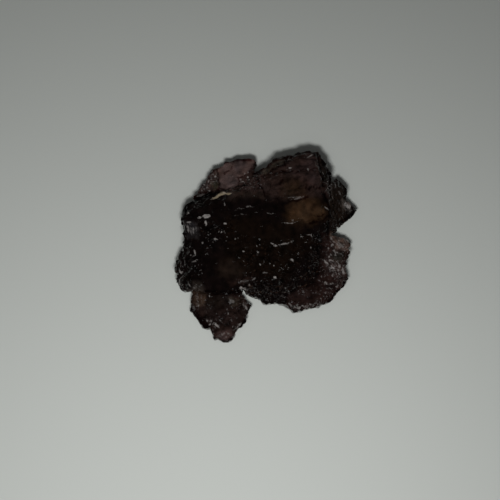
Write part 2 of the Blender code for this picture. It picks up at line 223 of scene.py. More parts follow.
# the shape of the group, with lengths in mm; a shift picks the stretch of the noise that is used
crystal = {
    "grain": 0.145,                   # between the points of the fine mesh
    "sharpAngle": 22.0,               # degrees between faces, past which an edge stays sharp
    "restingEdge": (0.02, 0.5),       # height over the floor where the carving sets in
    "topFaces": (0.3, 0.8),           # normals' Z from which a face is carved in full
    "wander": dict(size=2.2, reach=0.22, shifts=(3.1, 7.7, 5.3)),   # straying of the long edges
    "crumble": dict(size=0.5, reach=0.19, shifts=(4.1, 8.7, 6.3)),  # finer straying of the rims
    "fluteSqueeze": (1.0, 1.0, 0.2),  # draws that straying out into upright flutes
    "strayUp": 0.4,                   # share of the straying that goes up and down
    "strayAreas": 2.0,                # how far the areas stray, for each mm of the edges
    "straySeams": 0.6,                # and how far the seams do
    "roughOnWalls": 0.3,              # share of the breakage that upright faces get
    "swell": dict(size=2.8, height=0.12, shift=1.3, onFlat=0.2),    # slow, less on whole faces
    "ripple": dict(size=0.35, height=0.004, shift=2.2),             # fine unevenness
    "growth": dict(                   # growth steps, drawn out sideways and patchy
        height=0.07, pitch=1.05, riser=0.13, heading=(-0.28, 0.96),
        bend=1.1, bendSize=2.0, bendStretch=(0.35, 1.0, 1.0), bendShift=5.0,
        patchSize=2.0, patchEdge=0.4, patchShift=25.0,
    ),
    "facets": dict(size=1.15, slope=0.20, turn=(0.5, 0.35, 0.6)),   # of the broken areas
    "chips": dict(size=0.5, slope=0.24, turn=(0.2, 0.8, 1.1), shift=4.0),  # small facets on them
    "chipsOnFlat": 0.06,              # share of the chips that whole faces get
    "pits": dict(size=1.5, span=(0.06, 0.24), turn=(0.9, 0.1, 0.3), shift=9.0),
    "pitDepth": 0.22,                 # of the hollows where crystals broke out
    "showHeight": 3.0,                # the height at which the outlines below lie
    "showLean": 0.123,                # how far southward they are seen from
}

# areas as they show from above and a little from the south, in mm; soft is the width of the
# fading edge
areas = {
    "plate": dict(soft=0.3, outline=[
        (-7.2, 10.4), (-7.2, 12.2), (-5.6, 13.2), (-3.6, 13.5), (-1.2, 13.6), (-2.1, 12.2),
        (-2.6, 10.9), (-4.1, 10.3), (-4.4, 9.2), (-5.6, 8.3), (-7.1, 8.6),
    ]),
    "plateLeft": dict(soft=0.4, outline=[
        (-11.6, 7.0), (-9.4, 11.2), (-7.2, 12.8), (-7.1, 8.6), (-9.4, 7.8),
    ]),
    "plateGreen": dict(soft=0.3, outline=[(-8.3, 9.5), (-7.6, 9.8), (-7.3, 9.1), (-7.9, 8.8)]),
    "plateRight": dict(soft=0.4, outline=[
        (-4.2, 10.2), (-2.6, 10.9), (-1.8, 12.2), (-0.6, 10.8), (-0.9, 8.0), (-4.0, 8.2),
        (-4.5, 9.2),
    ]),
    "plateFoot": dict(soft=0.9, outline=[(-6.6, 9.2), (-1.6, 9.9), (-0.6, 7.6), (-5.6, 7.2)]),
    "northEast": dict(soft=0.7, outline=[
        (-1.6, 10.6), (0.0, 12.6), (4.0, 14.2), (8.0, 14.8), (10.0, 10.4), (9.4, 7.6), (4.5, 7.1),
        (-0.4, 7.2),
    ]),
    "lilac": dict(soft=0.5, outline=[
        (5.6, 13.6), (7.4, 14.0), (7.5, 9.2), (5.9, 8.8), (3.9, 11.2),
    ]),
    "olive": dict(soft=0.9, outline=[(2.4, 7.6), (2.6, 9.8), (4.8, 9.6), (5.8, 8.4), (4.6, 7.2)]),
    "darkFlank": dict(soft=0.5, outline=[
        (7.7, 14.4), (8.1, 11.4), (8.5, 9.4), (9.8, 9.4), (10.0, 11.6),
    ]),
    "northWestFace": dict(soft=0.3, outline=[
        (-0.9, 10.5), (0.6, 11.3), (1.6, 11.9), (2.6, 12.6), (3.4, 13.6), (2.4, 14.0), (0.4, 13.0),
        (-1.2, 11.4),
    ]),
    "amber": dict(soft=0.9, outline=[
        (2.9, 5.0), (3.8, 6.5), (5.6, 7.3), (7.6, 7.0), (8.8, 5.6), (8.6, 4.2), (6.6, 3.3),
        (4.4, 3.4), (3.2, 4.0),
    ]),
    "amberHeart": dict(soft=1.1, outline=[
        (4.2, 5.3), (5.3, 6.8), (7.2, 6.5), (8.0, 5.2), (6.6, 4.2), (4.6, 4.4),
    ]),
    "heart": dict(soft=1.2, outline=[
        (-6.0, 4.6), (3.6, 3.4), (7.0, 0.8), (3.0, -4.8), (-4.6, -4.4), (-6.4, 0.0),
    ]),
    "lowerWindow": dict(soft=0.9, outline=[
        (-7.4, -3.2), (-5.8, -1.9), (-4.6, -2.4), (-3.4, -3.9), (-4.6, -4.6), (-6.8, -4.4),
    ]),
    "southEast": dict(soft=0.6, outline=[
        (8.4, 1.6), (12.8, 1.2), (12.4, -5.4), (7.8, -9.6), (2.2, -9.6), (3.6, -7.6), (7.6, -5.8),
        (8.4, -2.0),
    ]),
    "palePatch": dict(soft=0.6, outline=[
        (8.6, -1.4), (10.8, -1.8), (11.9, -3.6), (11.2, -5.4), (9.0, -4.0),
    ]),
    "southEastFacet": dict(soft=0.5, outline=[
        (3.8, -7.0), (5.4, -6.2), (7.4, -6.2), (8.0, -7.4), (6.6, -8.2), (4.2, -8.4),
    ]),
    "eastGreen": dict(soft=0.4, outline=[(9.9, -0.9), (11.3, -1.1), (11.2, -2.4), (9.9, -2.2)]),
    "darkEast": dict(soft=0.7, outline=[
        (4.4, -2.2), (7.6, -2.4), (8.0, -4.6), (6.6, -5.6), (4.0, -6.0),
    ]),
    "southRim": dict(soft=0.3, outline=[
        (3.0, -8.6), (3.8, -9.9), (6.2, -9.5), (9.2, -8.5), (8.6, -7.9), (5.6, -8.8),
    ]),
    "eastBlock": dict(soft=0.3, outline=[(9.4, 1.8), (12.6, 1.8), (12.4, -0.6), (10.4, -0.4)]),
    "south": dict(soft=0.5, outline=[
        (-11.6, -7.2), (-11.8, -10.0), (-8.4, -14.6), (-5.0, -14.8), (-2.6, -9.0), (-3.8, -7.2),
    ]),
    "southFace": dict(soft=0.5, outline=[
        (-9.0, -7.4), (-9.0, -9.2), (-6.4, -9.4), (-5.6, -8.8), (-5.6, -7.4),
    ]),
    "southBeige": dict(soft=0.35, outline=[(-5.7, -7.9), (-5.3, -9.0), (-4.2, -9.0), (-3.8, -7.9)]),
    "southCluster": dict(soft=0.3, outline=[
        (-9.2, -10.7), (-8.2, -10.9), (-6.6, -12.0), (-7.1, -12.6), (-8.7, -11.8),
    ]),
    "southEdge": dict(soft=0.3, outline=[(-3.7, -8.1), (-2.7, -8.4), (-2.8, -9.9), (-3.7, -9.6)]),
    "southTip": dict(soft=0.4, outline=[
        (-7.4, -12.8), (-5.6, -12.6), (-5.0, -13.6), (-6.0, -14.2), (-7.4, -13.8),
    ]),
    "southNeck": dict(soft=0.35, outline=[
        (-11.2, -5.4), (-9.6, -5.6), (-9.3, -6.9), (-11.2, -6.9),
    ]),
    "southAmber": dict(soft=0.35, outline=[
        (-11.2, -7.0), (-9.3, -6.8), (-9.2, -9.1), (-10.9, -9.2),
    ]),
    "notch": dict(soft=0.25, outline=[
        (-4.2, -6.4), (-3.4, -6.0), (-2.6, -6.3), (-2.6, -7.1), (-3.0, -7.8), (-3.6, -7.4),
    ]),
    "spike": dict(soft=0.3, outline=[(11.5, 7.1), (13.0, 6.3), (12.7, 5.4), (11.7, 5.4)]),
    "flank": dict(soft=0.4, outline=[(9.5, 9.8), (11.9, 9.6), (11.9, 3.0), (9.6, 2.4), (9.2, 6.0)]),
    "frosted": dict(soft=0.3, outline=[(-12.3, 3.5), (-10.3, 3.5), (-10.2, 1.3), (-11.8, 1.1)]),
    "west": dict(soft=0.8, outline=[
        (-14.0, 3.4), (-5.0, 4.4), (-4.4, 0.0), (-9.6, -1.2), (-9.6, -7.4), (-14.0, -7.0),
    ]),
    "redBand": dict(soft=0.35, outline=[
        (-5.4, -6.2), (-3.4, -5.3), (-1.9, -5.0), (-2.2, -4.4), (-4.0, -4.9), (-5.6, -5.6),
    ]),
    "streak": dict(soft=0.3, outline=[(-8.6, 6.6), (-7.2, 8.3), (-5.0, 8.3), (-5.4, 7.4)]),
    "southCleft": dict(soft=0.3, outline=[
        (-11.0, -6.2), (-11.0, -7.7), (-3.6, -7.7), (-3.6, -6.2),
    ]),
    "middle": dict(soft=0.8, outline=[
        (-5.0, 0.6), (8.8, 0.8), (8.8, -2.0), (7.4, -6.0), (3.4, -8.8), (-1.6, -9.0), (-4.0, -7.2),
    ]),
}

# how broken and how stepped each area is
broken = [
    ("west", 0.8), ("middle", 1.0), ("southEast", 0.6), ("south", 0.7), ("plateLeft", 0.8),
    ("plateRight", 0.4), ("spike", 0.5), ("flank", 0.3), ("darkFlank", 0.5), ("lowerWindow", -0.9),
    ("southEastFacet", -0.9), ("southFace", -0.95), ("frosted", -0.6),
]
stepped = [("northEast", 1.0), ("heart", 0.5), ("olive", 0.5), ("amber", -0.8), ("plate", -0.9)]

# dark seams between the grown-together pieces, with painted shade along the rims and in crevices:
# route, width and depth in mm
seamsAndRimShade = [
    ([(-11.2, 7.0), (-10.0, 7.35), (-8.6, 8.0), (-7.0, 8.75)], 0.3, 0.12),
    ([(-9.1, -6.8), (-7.4, -7.1), (-5.6, -7.1), (-4.2, -6.9)], 0.8, 0.0),
    ([(-0.7, 10.5), (0.6, 11.2), (1.6, 11.8), (2.6, 12.5), (3.3, 13.4)], 0.22, 0.06),
    ([(2.0, 11.7), (2.7, 12.2)], 0.34, 0.0),
    ([(0.3, 10.7), (1.8, 11.0), (3.5, 11.2), (4.8, 11.2)], 0.22, 0.08),
    ([(3.8, 11.2), (5.0, 11.35), (6.5, 11.35), (7.4, 11.7)], 0.2, 0.08),
    ([(-7.3, 12.2), (-7.25, 10.4), (-7.1, 8.7), (-5.6, 8.2), (-4.5, 9.0)], 0.08, 0.0),
    ([(-4.5, 9.0), (-4.2, 10.2), (-2.7, 10.9), (-2.2, 12.2)], 0.08, 0.0),
    ([(-5.0, 12.9), (-5.4, 11.8), (-6.3, 10.9)], 0.03, 0.0),
    ([(-8.6, 7.9), (-7.8, 8.0), (-7.2, 8.5)], 0.36, 0.0),
    *[([(x, 8.55), (x + 0.06, 9.1)], 0.15, 0.0) for x in (5.9, 6.4, 6.9, 7.4, 7.9)],
    ([(2.0, 9.4), (2.4, 9.9)], 0.45, 0.0),
    ([(3.4, 6.65), (4.8, 6.85), (6.0, 7.35)], 0.2, 0.0),
    ([(6.5, 3.4), (8.3, 3.9), (9.3, 4.5)], 0.24, 0.04),
    ([(7.6, 4.3), (8.6, 4.8)], 0.1, 0.0),
    ([(7.6, 13.9), (7.9, 12.4), (7.9, 11.4), (8.4, 10.2), (8.4, 9.0)], 0.3, 0.12),
    ([(-1.8, 10.9), (-1.5, 9.9), (-0.6, 8.6), (-0.2, 7.4)], 0.2, 0.1),
    ([(8.6, 7.6), (9.2, 6.4), (9.4, 4.4), (9.0, 2.2)], 0.4, 0.05),
    ([(-12.9, 0.8), (-12.9, 3.6), (-12.5, 5.4), (-11.4, 6.8), (-9.2, 8.0)], 1.3, 0.0),
    ([(-11.3, 7.2), (-10.2, 8.9), (-9.0, 10.7), (-7.4, 12.0)], 0.6, 0.0),
    ([(-7.4, 12.0), (-6.2, 12.8), (-4.3, 13.3), (-2.3, 13.1)], 0.4, 0.0),
    ([
        (-1.8, 11.0), (0.0, 12.0), (1.2, 13.0), (3.6, 13.5), (4.8, 14.1), (6.6, 14.3), (7.8, 13.8),
    ], 0.7, 0.0),
    ([(8.3, 13.4), (8.8, 12.2), (9.4, 11.0), (9.6, 9.8)], 0.8, 0.0),
    ([(11.0, 3.5), (12.2, 4.3), (13.5, 5.3)], 0.6, 0.0),
    ([(12.2, -5.0), (11.4, -6.2), (10.1, -7.6), (9.2, -8.5)], 0.6, 0.0),
    ([(-11.3, -9.5), (-10.6, -10.5), (-10.0, -11.4), (-9.1, -12.2)], 1.6, 0.0),
    ([(-8.5, -12.6), (-8.2, -13.9), (-7.2, -14.3), (-5.6, -14.5), (-4.8, -13.6)], 0.5, 0.0),
    ([(-4.4, -12.9), (-3.6, -12.0), (-2.9, -10.4)], 0.4, 0.0),
]


def fromAbove(points):
    # the points moved to where they show in the outlines' own view
    seen = points.copy()
    seen[:, 1] += (points[:, 2] - crystal["showHeight"]) * crystal["showLean"]
    return seen


def areaMask(points, name):
    # 1 inside the outline, 0 outside, fading over the soft width
    outline = areas[name]["outline"]
    soft = areas[name]["soft"]
    x, y = points[:, 0], points[:, 1]
    nearest = np.full(len(points), 1e9)
    inside = np.zeros(len(points), bool)
    for (x0, y0), (x1, y1) in zip(outline, outline[1:] + outline[:1]):
        nearest = np.minimum(nearest, distanceTo(points, (x0, y0), (x1, y1)))
        if y0 != y1:
            inside ^= ((y0 > y) != (y1 > y)) & (x < x0 + (y - y0) * (x1 - x0) / (y1 - y0))
    return smoothStep(-soft, soft, np.where(inside, nearest, -nearest))


def blendOf(points, parts):
    # a value from 0 to 1 over the areas; a share below 0 takes away
    total = np.zeros(len(points))
    for name, share in parts:
        mask = areaMask(points, name)
        total = total + mask * share if share > 0 else total * (1 + share * mask)
    return np.clip(total, 0, 1)


def fineCopy(node):
    # the CAD node's shape as an even, fine mesh
    mesh = bmesh.new()
    mesh.from_mesh(node.data)
    bmesh.ops.remove_doubles(mesh, verts=mesh.verts, dist=1e-7)
    data = bpy.data.meshes.new("crystalGroup")
    mesh.to_mesh(data)
    mesh.free()
    piece = bpy.data.objects.new("crystal_group", data)
    scene.collection.objects.link(piece)
    even = piece.modifiers.new("Even", "REMESH")
    even.mode = "SHARP"  # keeps the edges between the flat faces
    even.octree_depth = 8
    longest = (cadBox[1][1] - cadBox[0][1]) / mm
    even.scale = longest / crystal["grain"] / 2 ** even.octree_depth
    graph = bpy.context.evaluated_depsgraph_get()
    piece.data = bpy.data.meshes.new_from_object(piece.evaluated_get(graph))
    piece.modifiers.clear()
    bpy.data.meshes.remove(data)
    return piece


def growthSteps(points):
    # steps that climb northward, each with its riser on the south, and that come and go
    growth = crystal["growth"]
    bend = cloud(points * growth["bendStretch"], growth["bendSize"], 3, growth["bendShift"])
    along = points[:, 1] * growth["heading"][1] + points[:, 0] * growth["heading"][0]
    travel = (along + bend * growth["bend"]) / growth["pitch"]
    share = travel - np.floor(travel)
    patches = cloud(points, growth["patchSize"], 2, growth["patchShift"])
    patchy = smoothStep(0.0, growth["patchEdge"], patches)
    return smoothStep(0.0, growth["riser"], share) * (1 - share) * growth["height"] * patchy


def carve(piece):
    # growth steps, broken facets, pits and grooves, each in its own areas
    points, normals = readPoints(piece.data)
    start = points.copy()
    above = smoothStep(*crystal["restingEdge"], points[:, 2])[:, None]  # the base stays flat
    facing = smoothStep(*crystal["topFaces"], normals[:, 2])
    stray = 0
    for part in (crystal["wander"], crystal["crumble"]):
        stray = stray + driftOf(points * crystal["fluteSqueeze"], part) * part["reach"]
    stray[:, 2] *= crystal["strayUp"]
    points += stray * above

    seen = fromAbove(start) + stray * crystal["strayAreas"]
    onWalls = crystal["roughOnWalls"]
    rough = blendOf(seen, broken) * (onWalls + (1 - onWalls) * facing)
    swell = crystal["swell"]
    ripple = crystal["ripple"]
    lift = cloud(points, swell["size"], 2, swell["shift"]) * swell["height"]
    lift *= swell["onFlat"] + (1 - swell["onFlat"]) * rough
    lift += growthSteps(points) * blendOf(seen, stepped) * facing
    lift += rough * facets(points, **crystal["facets"])
    onFlat = crystal["chipsOnFlat"]
    lift += (rough * (1 - onFlat) + onFlat) * facets(points, **crystal["chips"])
    lift -= rough * pits(points, **crystal["pits"]) * crystal["pitDepth"]
    lift += cloud(points, ripple["size"], 2, ripple["shift"]) * ripple["height"]
    edges = fromAbove(start) + stray * crystal["straySeams"]
    for route, width, depth in seamsAndRimShade:
        if depth:
            lift -= routeMask(edges, route, width) * depth * facing

    points += normals * lift[:, None] * above
    low, high = np.array(cadBox) / mm
    writePoints(piece.data, np.clip(points, low, high))


# the colour and dullness of the surface: lengths in mm
tinting = {
    "stone": (0.0080, 0.0045, 0.0040),    # under all the areas
    # upright faces get a warmer, paler brown, a painted glow of light seen through the stone
    "walls": (0.062, 0.032, 0.020),
    "wallFaces": (0.05, 0.45),            # normals' Z over which the walls' tint fades
    # the pale marks and painted glints come in over these normals' Z
    "markedFaces": (0.25, 0.85),          # normals' Z over which the pale marks come in
    "drift": dict(size=0.9, shifts=(11.0, 13.0, 15.0)),  # makes the edges of areas wander
    "areaDrift": 0.45,
    "seamDrift": 0.25,
    "mottle": dict(size=0.9, octaves=4, shift=17.0),
    "mottleDepth": 0.7,
    "mottleLimits": (0.15, 2.2),          # darkest and palest, as shares of the tint
    "hue": dict(size=1.7, octaves=2, shift=21.0),
    "hueChange": (0.05, -0.06, -0.16),    # redder on one side, bluer on the other
    "streaks": dict(size=0.42, octaves=3, shift=61.0),  # fine dark growth streaks
    "streakTurn": (0.0, 0.0, 0.3),
    "streakStretch": (0.3, 1.0, 1.0),
    "streakEdge": 0.5,
    "streakDepth": 0.6,
    # the seams and the painted shade along the rims take away this much of each colour
    "seamShade": (0.78, 0.90, 0.90),      # how much of each colour a seam takes away
    "seamOnMarks": 0.6,                   # how much of a pale mark it takes away
    # painted shade in the south cleft
    "cleftShade": 0.9,                    # how much of the walls' tint the south cleft loses
    "dullness": 0.09,                     # of the stone under all the areas
    "mottledDullness": 0.03,
    "leastDull": 0.03,
}

# the tint of the stone in each area and how far it covers, painted in this order; the pale plate
# and the amber areas partly stand in for light seen through thinner stone
tints = [
    ("northEast", (0.051, 0.030, 0.025), 1.0),
    ("lilac", (0.072, 0.043, 0.039), 1.0),
    ("olive", (0.058, 0.033, 0.019), 0.9),
    ("northWestFace", (0.100, 0.080, 0.062), 0.95),
    ("darkFlank", (0.020, 0.016, 0.012), 0.9),
    ("plateFoot", (0.056, 0.036, 0.028), 0.9),
    ("plateLeft", (0.078, 0.048, 0.041), 1.0),
    ("plateGreen", (0.100, 0.086, 0.052), 0.8),
    ("plateRight", (0.066, 0.037, 0.032), 1.0),
    ("plate", (0.170, 0.111, 0.101), 1.0),
    ("southEast", (0.036, 0.018, 0.015), 1.0),
    ("palePatch", (0.068, 0.041, 0.036), 1.0),
    ("southEastFacet", (0.034, 0.018, 0.015), 1.0),
    ("eastBlock", (0.180, 0.120, 0.098), 0.9),
    ("eastGreen", (0.040, 0.036, 0.029), 0.9),
    ("south", (0.032, 0.018, 0.015), 1.0),
    ("southFace", (0.022, 0.014, 0.011), 1.0),
    ("southBeige", (0.080, 0.062, 0.047), 0.9),
    ("southTip", (0.100, 0.061, 0.057), 1.0),
    ("southAmber", (0.080, 0.050, 0.034), 0.9),
    ("southNeck", (0.050, 0.038, 0.031), 0.9),
    ("flank", (0.024, 0.016, 0.012), 1.0),
    ("spike", (0.190, 0.158, 0.140), 1.0),
    ("heart", (0.0120, 0.0065, 0.0040), 1.0),
    ("lowerWindow", (0.029, 0.018, 0.013), 1.0),
    ("redBand", (0.034, 0.018, 0.014), 0.9),
    ("amber", (0.064, 0.034, 0.017), 1.0),
    ("amberHeart", (0.088, 0.047, 0.024), 1.0),
    ("frosted", (0.045, 0.037, 0.037), 0.8),
]

# how dull each area is, from 0 polished to 1
dullness = [
    ("northEast", 0.15), ("plate", 0.25), ("plateFoot", 0.18), ("southEast", 0.17),
    ("southEastFacet", 0.17), ("south", 0.15), ("southFace", 0.12), ("southTip", 0.26),
    ("heart", 0.08), ("amber", 0.12), ("lowerWindow", 0.09), ("frosted", 0.28), ("spike", 0.24),
]

# how streaked each area is
streaked = [
    ("northEast", 1.0), ("northWestFace", 1.0), ("plateFoot", 0.8), ("plateLeft", 0.7),
    ("plateRight", 0.7), ("plate", 0.2), ("south", 0.8), ("southEast", 0.7), ("palePatch", 0.6),
    ("flank", 1.0), ("amber", -0.75), ("southTip", 0.8),
]


def addAttribute(piece, name, kind, field, values):
    made = piece.data.attributes.new(name, kind, "POINT")
    made.data.foreach_set(field, values.astype(np.float32).ravel())


def mottled(mottle):
    return np.clip(1 + mottle * tinting["mottleDepth"], *tinting["mottleLimits"])


def streaksOn(points, seen):
    turned = points @ np.array(Euler(tinting["streakTurn"]).to_matrix())
    lines = cloud(turned * tinting["streakStretch"], **tinting["streaks"])
    return smoothStep(0.0, tinting["streakEdge"], lines) * blendOf(seen, streaked)


def tintOf(points, normals, seen, mottle, dark):
    colour = np.tile(np.array(tinting["stone"]), (len(points), 1))
    for name, tint, share in tints:
        mask = (areaMask(seen, name) * share)[:, None]
        colour = colour * (1 - mask) + np.array(tint) * mask
    colour *= mottled(mottle)
    colour *= 1 + cloud(points, **tinting["hue"])[:, None] * np.array(tinting["hueChange"])
    colour *= 1 - tinting["streakDepth"] * streaksOn(points, seen)[:, None]
    # darkens the seams and paints shade along the rims
    colour *= 1 - dark[:, None] * tinting["seamShade"]
    # upright faces take the walls' tint, a painted glow of light through the stone, except in the
    # south cleft, where painted shade takes it away
    walls = 1 - smoothStep(*tinting["wallFaces"], normals[:, 2])[:, None]
    walls *= 1 - areaMask(seen, "southCleft")[:, None] * tinting["cleftShade"]
    colour = colour * (1 - walls) + np.array(tinting["walls"]) * mottled(mottle) * walls
    return np.column_stack([np.clip(colour, 0, 1), np.ones(len(points))])


def dullOf(seen, mottle):
    dull = np.full(len(seen), tinting["dullness"])
    for name, value in dullness:
        mask = areaMask(seen, name)
        dull = dull * (1 - mask) + value * mask
    dull += np.clip(mottle[:, 0], -0.5, 1) * tinting["mottledDullness"]
    return np.clip(dull, tinting["leastDull"], 1)


def paint(piece):
    # tint, dullness, and pale marks with painted glints among them, as attributes of its points
    points, normals = readPoints(piece.data)
    drift = driftOf(points, tinting["drift"])
    seen = fromAbove(points) + drift * tinting["areaDrift"]
    edges = fromAbove(points) + drift * tinting["seamDrift"]
    facing = smoothStep(*tinting["markedFaces"], normals[:, 2])
    mottle = cloud(points, **tinting["mottle"])[:, None]
    # dark seams, with painted shade along the rims
    dark = np.maximum.reduce([routeMask(edges, route, width) for route, width, depth in seamsAndRimShade])
    inside, bright = marksOf(points)
    # painted glints and pale marks show on faces that turn upward
    bright = bright * facing * (1 - dark * tinting["seamOnMarks"])
    tint = tintOf(points, normals, seen, mottle, dark)
    addAttribute(piece, "tint", "FLOAT_COLOR", "color", tint)
    addAttribute(piece, "dull", "FLOAT", "value", dullOf(seen, mottle))
    addAttribute(piece, "mark", "FLOAT", "value", np.clip(0.5 + inside / shine["reach"], 0, 1))
    addAttribute(piece, "bright", "FLOAT", "value", bright)
    addAttribute(piece, "cream", "FLOAT", "value", areaMask(seen, "streak"))


# pale slivers, crumbs and specks that flash, partly pale cleavage in the stone and partly painted
# glints: lengths in mm
shine = {
    "reach": 0.6,                # how wide the fading edge of a mark is kept before it is cut sharp
    "cover": 0.04,               # how far past its edge a mark still covers the earlier ones
    "drift": dict(size=0.5, shifts=(31.0, 33.0, 35.0)),  # makes their edges wander
    "markDrift": 0.14,
    "crumbShift": 51.0,
    "crumbRise": 0.5,            # how fast a crumb grows from its edge inward
    "areaEdge": 0.5,             # how fast crumbs end at the edge of their area
    "sparseLoss": 0.3,           # how much smaller they are in the sparse areas
    "taper": 0.35,               # share of a sliver's length that narrows at each tip
    "tip": 0.25,                 # width left at the very tip
    "seed": 11,
    # the specks are painted glints
    "speckSize": (0.08, 0.15),   # radius
    "speckBright": (0.45, 0.85),
    "speckStretch": (0.8, 1.25),
    "spare": 170,                # further specks, strewn over the broken areas
    "spareSize": (0.05, 0.11),
    "spareBright": (0.08, 0.5),  # the least, and what the brightest add to it
    "spareStretch": (0.6, 1.6),
}

# areas where hardly any pale marks lie
sparse = [("southEastFacet", 1.0), ("darkEast", 0.85), ("lowerWindow", 1.0), ("heart", 0.8)]

# pale crumbs, partly painted glints: area, brightness, size, how rare they are, and a stretch along
# X, Y and Z
crumbsAndGlints = [
    ("middle", 0.08, 0.24, 0.28, (1, 1, 1)),
    ("plateLeft", 0.24, 0.24, 0.28, (1, 1, 1)),
    ("plateRight", 0.22, 0.24, 0.38, (1, 1, 1)),
    ("notch", 0.36, 0.36, 0.05, (1, 1, 1)),
    ("southCluster", 0.36, 0.30, 0.12, (1, 1, 1)),
    ("southEdge", 0.28, 0.28, 0.08, (1, 1, 1)),
    ("southRim", 0.46, 0.26, 0.15, (1, 1, 1)),
    ("palePatch", 0.60, 0.34, 0.24, (1, 1, 1)),
    ("southEast", 0.44, 0.30, 0.38, (1, 1, 1)),
    ("southAmber", 0.12, 0.26, 0.24, (1, 0.4, 1)),
    ("southNeck", 0.16, 0.26, 0.16, (1, 1, 1)),
    ("southTip", 0.30, 0.34, 0.20, (1, 1, 1)),
    ("eastBlock", 0.22, 0.34, 0.25, (1, 1, 1)),
    ("spike", 0.90, 0.34, -0.10, (1, 1, 1)),
    ("flank", 0.05, 0.30, 0.28, (1, 0.3, 1)),
]
